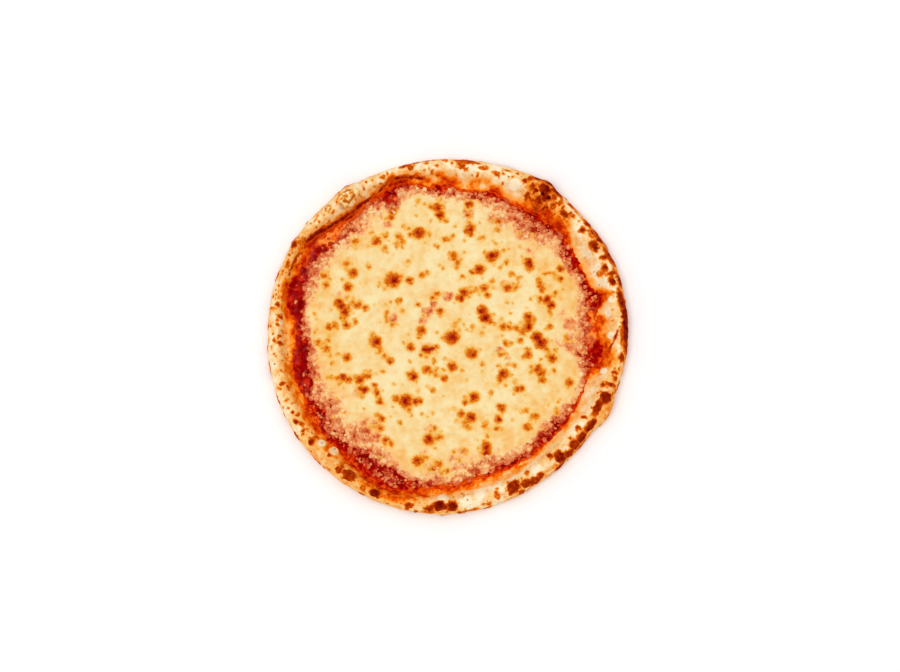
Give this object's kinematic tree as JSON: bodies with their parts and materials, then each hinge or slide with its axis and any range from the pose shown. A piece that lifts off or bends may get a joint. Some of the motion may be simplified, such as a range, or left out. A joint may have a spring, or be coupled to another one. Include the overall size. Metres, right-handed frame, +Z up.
{
  "type": "margherita pizza",
  "caption": "Whole round pizza: puffed baked crust, a layer of tomato sauce and a sheet of melted mozzarella.",
  "frame": {"origin": "centre of the resting face, under the middle of the pizza's box", "axes": "+Z up, out of the topping; -Y towards the picture's lower edge, +X to its right"},
  "size_m": [0.2998, 0.3026, 0.0209],
  "materials": {
    "crust": "baked dough, pale with brown blisters",
    "tomato_sauce": "wet red sauce",
    "mozzarella": "melted cheese with browned spots"
  },
  "bodies": {
    "root": {"crust": "crust", "tomato_sauce": "tomato_sauce", "mozzarella": "mozzarella"}
  },
  "joints": []
}
